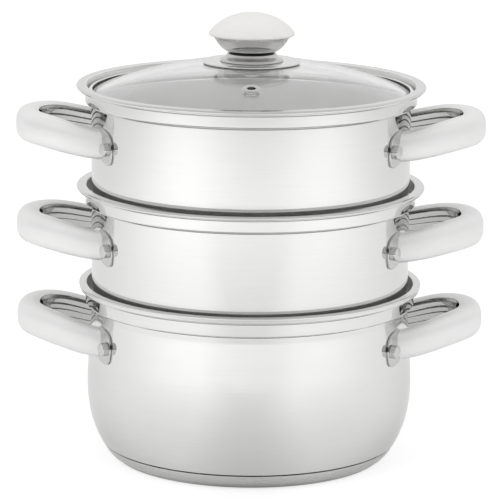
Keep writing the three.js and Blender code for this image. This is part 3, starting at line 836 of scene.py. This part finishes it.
def sectionOutline(halfThickness, halfHeight):
    # outer face and crown in one sweep, then the flat inner face; also says which edges are polished
    crown, power = loopSection["crown"] * halfThickness, 2 / loopSection["fullness"]
    outer, shoulder = [], []
    for i in range(loopSection["crownSteps"] + 1):
        turn = math.pi * (i / loopSection["crownSteps"] - 0.5)
        sideways = crown + (halfThickness - crown) * math.cos(turn) ** power
        upwards = halfHeight * math.copysign(abs(math.sin(turn)) ** power, math.sin(turn))
        outer.append((sideways, upwards))
    for i in range(1, loopSection["dropSteps"] + 1):
        share = i / loopSection["dropSteps"]
        sideways = crown - (halfThickness + crown) * share
        shoulder.append((sideways, halfHeight - loopSection["drop"] * share ** loopSection["dropPower"]))
    edge = halfHeight - loopSection["drop"]
    shares = np.linspace(1, -1, loopSection["innerSteps"] + 1)[1:-1]
    tilts = np.interp(shares, *zip(*sorted(loopSection["tilts"])))
    lean = np.cumsum(np.tan(np.radians(tilts))) * edge * (shares[0] - shares[1])
    level = lean.mean()
    inner = [(-(k - level) - halfThickness + loopSection["dish"], edge * s) for s, k in zip(shares, lean)]
    under = [(s, -u) for s, u in reversed(shoulder)]
    first = len(outer) + len(shoulder) - 1
    return outer + shoulder + inner + under, range(first, first + len(inner) + 1)


def loopCentres(lipHeight, apex, rise):
    turn = math.radians(loop["rootAngle"])
    root = rim["wallRadius"] - loop["rootInset"]
    rootX, rootY = root * math.cos(turn), root * math.sin(turn)
    sweep = np.linspace(0, math.pi, 361)
    power = 2 / loop["planPower"]
    out = np.abs(np.sin(sweep)) ** power
    span = np.sign(np.cos(sweep)) * np.abs(np.cos(sweep)) ** power * (1 - loop["planPinch"] * out)
    places = np.stack([
        rootX + (apex - rootX) * out,
        -rootY * span,
        lipHeight - loop["rootDrop"] + rise * np.sin(math.pi / 2 * out) ** loop["risePower"],
    ], 1)
    walked = np.r_[0, np.cumsum(np.linalg.norm(np.diff(places, axis=0), axis=1))]
    shares = np.linspace(0, 1, loop["steps"] + 1)
    return shares, np.stack([np.interp(shares * walked[-1], walked, places[:, k]) for k in range(3)], 1)


def loopMesh(name, lipHeight, apexEdge, rise):
    shares, centres = loopCentres(lipHeight, apexEdge - loop["thickness"][1] / 2, rise)
    verts = []
    for share, centre, tangent in zip(shares, centres, np.gradient(centres, axis=0)):
        along = Vector(tangent).normalized()
        across = Vector((along.y, -along.x, 0)).normalized()
        up = across.cross(along).normalized()
        nearRoot = min(share, 1 - share)
        height, thickness = (grown(nearRoot, *loop[size]) for size in ("height", "thickness"))
        outline, polished = sectionOutline(thickness / 2, height / 2)
        for sideways, upwards in outline:
            verts.append(tuple((Vector(centre) + across * sideways + up * upwards) * mm))
    around = len(outline)
    faces = tubeFaces(around, len(shares))
    faces.append(tuple(range(around)))
    faces.append(tuple(range(len(verts) - around, len(verts)))[::-1])
    kinds = [int(j in polished) for j in range(around)] * loop["steps"]
    return builtMesh(name, verts, faces, [*kinds, 0, 0])


def lugMesh(name, lipHeight, side, skinRadius):
    top = lipHeight - loop["rootDrop"] + lug["above"]
    tall = lug["above"] + lug["below"]
    corners = [(s * (lug["armSide"] if s < 0 else lug["freeSide"]), h) for s, h in lug["shares"]]
    closed = [Vector((s, top - tall * h)) for s, h in corners]
    outline = []
    for i in range(len(closed)):
        near = [closed[(i + k) % len(closed)] for k in (-1, 0, 1, 2)]
        outline += [splineAt(*near, step / lug["outlineSteps"]) for step in range(lug["outlineSteps"])]
    middle = sum(outline, Vector((0, 0))) / len(outline)
    face, bevel, sunk = lug["clearance"] + lug["thickness"], lug["edgeRound"], lug["sunk"]
    # rings of the outline: scale, distance from the wall and inset
    rings = [(lug["backRing"], sunk, 0), (1, sunk, 0), (1, face - bevel, 0)]
    for i in range(1, lug["edgeSteps"] + 1):
        turn = math.pi / 2 * i / lug["edgeSteps"]
        rings.append((1, face - bevel * (1 - math.sin(turn)), bevel * (1 - math.cos(turn))))
    rings += [(scale, face, 0) for scale in lug["faceRings"]]

    def onWall(place, lift):
        radius = skinRadius(place.y) + lift
        turn = math.radians(lug["angle"]) + place.x / rim["wallRadius"]
        return (radius * math.cos(turn) * mm, side * radius * math.sin(turn) * mm, place.y * mm)

    verts = []
    for scale, lift, inset in rings:
        for place in outline:
            away = place - middle
            verts.append(onWall(middle + away * (scale * (1 - inset / away.length)), lift))
    around = len(outline)
    faces = tubeFaces(around, len(rings))
    for start, lift in ((0, sunk), ((len(rings) - 1) * around, face)):
        faces += [(start + j, start + (j + 1) % around, len(verts)) for j in range(around)]
        verts.append(onWall(middle, lift))
    return builtMesh(name, verts, faces, [1] * len(faces))


def potRadiusAt(height):
    # the pot's outside between its foot and its wall
    line = bellyLine()
    return float(np.interp(height, [p.y for p in line], [p.x for p in line]))


def steamerRadiusAt(height):
    return rim["wallRadius"]


def joined(piece, tool, operation):
    modifier = piece.modifiers.new(operation.lower(), "BOOLEAN")
    modifier.operation = operation
    modifier.solver = "MANIFOLD"
    modifier.object = tool
    keepResult(piece, modifier)
    bpy.data.objects.remove(tool)


def wallBlank(lipHeight, skinRadius):
    heights = np.linspace(lipHeight - wallCut["from"], lipHeight - wallCut["to"], wallCut["steps"])
    wall = [Vector((skinRadius(h) + lug["clearance"], h)) for h in heights]
    line = [Vector((0, heights[0])), *wall, Vector((0, heights[-1]))]
    return newObject("blank", turnedMesh("blank", line, 360))


def makeHandles(tier, body, lipHeight, skinRadius):
    node = tier + "_handle_right"
    mesh = loopMesh(node, lipHeight, highCorner(node).x, loop["rise"][tier])
    hand = shadedObject("work", mesh, [handleSteel, innerSteel])
    for side in (-1, 1):
        tab = shadedObject("tab", lugMesh("tab", lipHeight, side, skinRadius), [handleSteel, innerSteel])
        joined(hand, tab, "UNION")
    joined(hand, wallBlank(lipHeight, skinRadius), "DIFFERENCE")
    rightMesh = hand.data
    bpy.data.objects.remove(hand)
    for node, turn in ((tier + "_handle_right", 0), (tier + "_handle_left", math.pi)):
        mesh = rightMesh.copy()
        mesh.transform(Matrix.Rotation(turn, 4, "Z"))
        settle(shadedObject(pieceName(node), mesh, [], 30), body, "polished_steel", node)


# Rivets, four to a tier
rivet = {
    "below": 1.0,
    "headRadius": 3.9,
    "headTop": 3.7,
    "headHeight": 3.4,
    "headRound": 0.6,
    "headCrown": 0.25,
    "shank": 2.4,
    "innerRadius": 4.0,
    "innerBevel": 0.4,
    "innerHeight": 1.2,
    "innerGap": 0.5,
}


def rivetLine():
    # along +X from the wall's outside: inner head, shank, outer head
    face = lug["clearance"] + lug["thickness"]
    inside = -rim["gauge"] - rivet["innerGap"]
    corners = [
        (0, inside - rivet["innerHeight"]),
        (rivet["innerRadius"] - rivet["innerBevel"], inside - rivet["innerHeight"], 0.8),
        (rivet["innerRadius"], inside, 0.2),
        (rivet["shank"], inside, 0.1),
        (rivet["shank"], face, 0.1),
        (rivet["headRadius"], face, 0.15),
        (rivet["headTop"], face + rivet["headHeight"], rivet["headRound"]),
        (0, face + rivet["headHeight"] + rivet["headCrown"]),
    ]
    return supported(roundedLine(corners), 0.15, 2)


def rivetGroup():
    # two on the right and two on the left, each turned to point outwards
    group, ids, given = geometryGroup("rivets", {
        "Rivet": "Object", "Wall Radius": "Float", "Height": "Float", "Lug Angle": "Float",
        "Steel": "Material",
    })
    index = addNode(group, "GeometryNodeInputIndex")
    side = mathNode(group, "MULTIPLY_ADD", mathNode(group, "MODULO", index, 2.0), 2.0, -1.0)
    half = mathNode(group, "FLOOR", times(group, index, 0.5))
    turn = times(group, half, math.pi)
    angle = mathNode(group, "MULTIPLY_ADD", side, given["Lug Angle"], turn)
    ways = (mathNode(group, way, angle) for way in ("COSINE", "SINE"))
    flat = (times(group, way, given["Wall Radius"]) for way in ways)
    place = addNode(group, "ShaderNodeCombineXYZ", *flat, given["Height"])
    points = addNode(group, "GeometryNodePoints", Count=4, Position=place)
    spin = addNode(group, "ShaderNodeCombineXYZ", Z=angle)
    form = addNode(group, "GeometryNodeObjectInfo", Object=given["Rivet"]).outputs["Geometry"]
    heads = addNode(group, "GeometryNodeInstanceOnPoints", Points=points, Instance=form, Rotation=spin)
    finishGroup(group, heads, Material=given["Steel"])
    return group, ids


def makeRivets(tier, body, lipHeight, skinRadius):
    height = lipHeight - loop["rootDrop"] - rivet["below"]
    piece = newObject(tier + "Rivets", bpy.data.meshes.new(tier + "Rivets"))
    gathered(piece, *rivets, {
        "Rivet": rivetForm,
        "Wall Radius": skinRadius(height) * mm,
        "Height": height * mm,
        "Lug Angle": math.radians(lug["angle"]),
        "Steel": mirrorSteel,
    })
    names = [f"{tier}_rivet_{side}_{end}" for side in ("right", "left") for end in ("front", "back")]
    settle(piece, body, "polished_steel", *names)


rivets = rivetGroup()
rivetMesh = turnedMesh("rivetForm", rivetLine(), 40)
rivetMesh.transform(Matrix.Rotation(math.pi / 2, 4, "Y"))
rivetForm = shadedObject("rivetForm", rivetMesh, [])
for tier, body, lipHalf, skinRadius in (
    ("pot", "pot", 0.6, potRadiusAt),
    ("middle", "middle_steamer", 1.3, steamerRadiusAt),
    ("top", "top_steamer", 1.3, steamerRadiusAt),
):
    lipHeight = highCorner(body + "_shell").z - lipHalf
    makeHandles(tier, body, lipHeight, skinRadius)
    makeRivets(tier, body, lipHeight, skinRadius)
bpy.data.objects.remove(rivetForm)
print("handles and rivets ready")


# The lid: glass, seal, ring and vent
lidGlass = {"seatRadius": 26.5, "thickness": 3.6, "boreRadius": 4.0, "edgeRound": 0.8, "clearance": 0.1}
lidRing = {"gauge": 0.6, "width": 2.15, "round": 0.5}
lidSeal = {"gauge": 0.5, "showing": 0.1, "clearance": 0.1, "height": 0.9}
ventEye = {
    "inset": 32.0,
    "bore": 2.3,
    "barrel": 3.2,
    "head": 5.1,
    "headHeight": 0.9,
    "headBevel": 0.2,
    "foot": 4.5,
    "footHeight": 0.8,
    "footGap": 0.25,
    "clearance": 0.2,
    "drill": (-8, 4),
}

lidBottom, ringTop, lidRadius = centredBox("lid_ring")
ringHeight = ringTop - lidBottom
grip = lidRing["gauge"] + lidSeal["gauge"] + lidSeal["clearance"] + lidGlass["clearance"]
glassEdge = lidRadius - grip
domeStart = lidRadius - lidRing["width"] - lidSeal["showing"] - lidSeal["gauge"]
glassTop = lidBottom + ringHeight - grip
seatHeight = lowCorner("knob_flange").z - lidGlass["clearance"]
squares = domeStart ** 2 - lidGlass["seatRadius"] ** 2 + glassTop ** 2 - seatHeight ** 2
domeCentre = squares / (2 * (glassTop - seatHeight))
domeRadius = math.hypot(domeStart, glassTop - domeCentre)


def domeHeight(distance, below=0.0):
    # a sphere with a flat seat for the knob at its top
    away = max(distance, lidGlass["seatRadius"])
    return domeCentre + math.sqrt((domeRadius - below) ** 2 - away ** 2)


def domeLine(below):
    # from the rim of the glass to its bore
    distances = np.linspace(domeStart, lidGlass["boreRadius"], 61)
    return [Vector((d, domeHeight(d, below))) for d in distances]


def makeGlass():
    above, below = domeLine(0.0), domeLine(lidGlass["thickness"])
    floor, turning = lidBottom + grip, lidGlass["edgeRound"]
    for place in below:
        place.y = max(place.y, floor)
    edge = [(glassEdge, floor, turning), (glassEdge, glassTop, turning)]
    rimLine = roundedLine([tuple(below[0]), *edge, tuple(above[0])], 5)
    line = supported([*below[::-1], *rimLine[1:-1], *above], 0.4, 1.6)
    piece = shadedObject("lidGlass", turnedMesh("lidGlass", line, 384), [clearGlass])
    drillRadius, (low, high) = ventEye["barrel"] + ventEye["clearance"], ventEye["drill"]
    drillLine = [Vector(p) for p in ((0, low), (drillRadius, low), (drillRadius, high), (0, high))]
    drill = newObject("drill", turnedMesh("drill", drillLine, 40))
    drill.data.transform(ventPlace)
    joined(piece, drill, "DIFFERENCE")
    smoothed(piece.data)
    settle(piece, "lid", "glass", "lid_glass")


def makeEyelet():
    bore, top = ventEye["bore"], ventEye["clearance"]
    foot = -lidGlass["thickness"] - ventEye["footGap"]
    line = ringLine((bore, (foot + top) / 2), [
        (bore, foot - ventEye["footHeight"], 0.3),
        (ventEye["foot"], foot - ventEye["footHeight"], 0.4),
        (ventEye["foot"], foot, 0.1),
        (ventEye["barrel"], foot, 0.1),
        (ventEye["barrel"], top, 0.1),
        (ventEye["head"], top, 0.15),
        (ventEye["head"] - ventEye["headBevel"], top + ventEye["headHeight"], 0.6),
        (bore, top + ventEye["headHeight"], 0.7),
    ], 0.12, 2)
    turnedPiece("vent_eyelet", line, mirrorSteel, "polished_steel", 64, place=ventPlace)


def makeRingAndSeal():
    outer, inner = lidRadius, lidRadius - lidRing["width"]
    low, high, gauge = lidBottom, lidBottom + ringHeight, lidRing["gauge"]
    line = ringLine((outer, (low + high) / 2), [
        (outer, high, 1.0), (inner, high, 0.25), (inner, high - gauge, 0.15),
        (outer - gauge, high - gauge, 0.2), (outer - gauge, low + gauge, 0.2),
        (inner, low + gauge, 0.15), (inner, low, 0.25), (outer, low, lidRing["round"]),
    ], 0.12, 6)
    turnedPiece("lid_ring", line, ringSteel, "polished_steel", 224)
    clear, thick = lidSeal["clearance"], lidSeal["gauge"]
    outer, inner = outer - gauge - clear, inner - lidSeal["showing"]
    high = high - gauge - clear
    low = high - lidSeal["height"]
    line = ringLine((outer, (low + high) / 2), [
        (outer, high, 0.1), (inner, high, 0.15), (inner, high - thick, 0.15),
        (outer - thick, high - thick, 0.05), (outer - thick, low, 0.1), (outer, low, 0.1),
    ], 0.1, 6, 4)
    turnedPiece("lid_seal", line, blackSeal, "black_seal", 224)


ventDistance = lidRadius - ventEye["inset"]
ventPlace = Matrix.Translation((0, -ventDistance * mm, domeHeight(ventDistance) * mm))
ventPlace = ventPlace @ Matrix.Rotation(math.asin(ventDistance / domeRadius), 4, "X")
makeGlass()
makeEyelet()
makeRingAndSeal()
print("lid ready")


# The knob, stacked up the axis from the glass; shares are parts of a piece's width and height
knobRing = {
    "bevel": 0.35,
    "edge": 0.75,
    "step": 1.5,
    "stepRadius": 17.4,
    "ledge": 16.9,
    "ledgeRise": 0.1,
    "waist": 0.75,
    "waistShare": 0.62,
    "top": 13.9,
    "taller": 0.6,
}
knobCore = {"screwDepth": 8, "pinRadius": 9}
knobBowl = {
    "seat": 9.2,
    "bottom": 13.2,
    "flat": 0.8,
    "gauge": 0.8,
    "shares": [(0.1, 0.03), (0.33, 0.16), (0.57, 0.38), (0.8, 0.68), (0.93, 0.88)],
}
knobCap = {
    "gauge": 0.9,
    "edge": 0.75,
    "bevel": (0.25, 0.1),
    "shares": [(0.035, 0.115), (0.12, 0.32), (0.26, 0.55), (0.44, 0.77), (0.68, 0.935), (0.86, 0.985)],
    "satinFrom": 0.15,
    "edgeSatin": 0.3,
}
knobScrew = {"headRadius": 5.5, "bevel": (2.2, 1.6), "shank": 2.5, "bore": 2.8}
knobGap = 0.1


def makeDisc(node, material, slot, segments, rounds, support=(0.3, 8)):
    # a disc with the screw's bore, and the roundings of its lower and upper edge
    low, high, radius = centredBox(node)
    bore = knobScrew["bore"]
    line = roundedLine([(bore, low), (radius, low, rounds[0]), (radius, high, rounds[1]), (bore, high)], 5)
    turnedPiece(node, supported(line, *support), material, slot, segments)


def makeBaseRing():
    low, high, radius = centredBox("knob_base_ring")
    high += knobRing["taller"]
    step, waist = low + knobRing["step"], low + knobRing["waistShare"] * (high - low)
    line = roundedLine([
        (knobScrew["bore"], low),
        (radius, low, 0.25),
        (radius - knobRing["bevel"], low + knobRing["edge"], 0.5),
        (knobRing["stepRadius"], step, 0.3),
        (knobRing["ledge"], step + knobRing["ledgeRise"], 0.4),
        (knobRing["top"] + knobRing["waist"], waist, 2.0),
        (knobRing["top"], high, 0.3),
        (knobScrew["bore"], high),
    ])
    turnedPiece("knob_base_ring", supported(line, 0.15, 4), knobSteel, "polished_steel", 144)


def makeKnobCore():
    low, high, radius = centredBox("knob_core")
    low += knobRing["taller"]
    neckTop = lowCorner("knob_bowl").z - knobGap
    boreTop, pin = low + knobCore["screwDepth"], knobCore["pinRadius"]
    line = roundedLine([
        (0, boreTop), (knobScrew["bore"], boreTop), (knobScrew["bore"], low), (radius, low, 0.3),
        (radius, neckTop, 0.3), (pin, neckTop, 0.2), (pin, high, 0.5), (0, high),
    ], 5)
    turnedPiece("knob_core", supported(line, 0.2, 4), blackPlastic, "black_plastic", 96)


def makeBowl():
    low, high, radius = centredBox("knob_bowl")
    bottom, seat = knobBowl["bottom"], knobBowl["seat"]
    flare = [(bottom + (radius - bottom) * s, low + (high - low) * t) for s, t in knobBowl["shares"]]
    outside = smoothThrough([(bottom, low), *flare, (radius, high)])
    line = [Vector((seat, low)), Vector((bottom - knobBowl["flat"], low)), *outside]
    line += [*drawnIn(outside, knobBowl["gauge"]), Vector((seat, low + knobBowl["gauge"]))]
    turnedPiece("knob_bowl", supported(line, 0.2, 4), knobSteel, "polished_steel", 160)


def makeKnobCap():
    low, high, radius = centredBox("knob_cap")
    edge, (inwards, upwards) = low + knobCap["edge"], knobCap["bevel"]
    crown = [(radius * (1 - s), edge + (high - edge) * t) for s, t in knobCap["shares"]]
    dome = smoothThrough([(radius, edge), *crown, (0, high)])
    seat = highCorner("knob_bowl").x + knobGap
    foot = [(seat, edge), (seat, low, 0.3), (radius - inwards, low + upwards, 0.5), tuple(dome[1])]
    inside = [Vector((max(p.x - knobCap["gauge"], 0), p.y - knobCap["gauge"])) for p in dome[4:]][::-1]
    line = supported([*inside, *roundedLine(foot, 5)[:-1], *dome[1:]], 0.25, 4)

    def satinAt(distance, height):
        return 1.0 if height > edge + knobCap["satinFrom"] else knobCap["edgeSatin"]

    turnedPiece("knob_cap", line, capSteel, "satin_steel", 160, satinAt=satinAt)


def makeScrew():
    low, high = centredBox("knob_screw")[:2]
    headTop = lowCorner("screw_washer").z - knobGap
    radius, shank, (inwards, upwards) = knobScrew["headRadius"], knobScrew["shank"], knobScrew["bevel"]
    line = roundedLine([
        (0, low), (radius - inwards, low, 3.0), (radius, low + upwards, 0.8), (radius, headTop, 0.15),
        (shank, headTop, 0.1), (shank, high, 0.4), (0, high),
    ])
    turnedPiece("knob_screw", supported(line, 0.15, 3), mirrorSteel, "polished_steel", 64)


makeDisc("knob_flange", flangeSteel, "polished_steel", 160, (0.15, 0.4), (0.2, 4))
makeBaseRing()
makeKnobCore()
makeBowl()
makeKnobCap()
makeDisc("screw_gasket", blackSeal, "black_seal", 96, (0.5, 0.3))
makeDisc("screw_washer", mirrorSteel, "polished_steel", 96, (0.5, 0.2))
makeScrew()
print("knob ready")

bpy.context.view_layer.update()
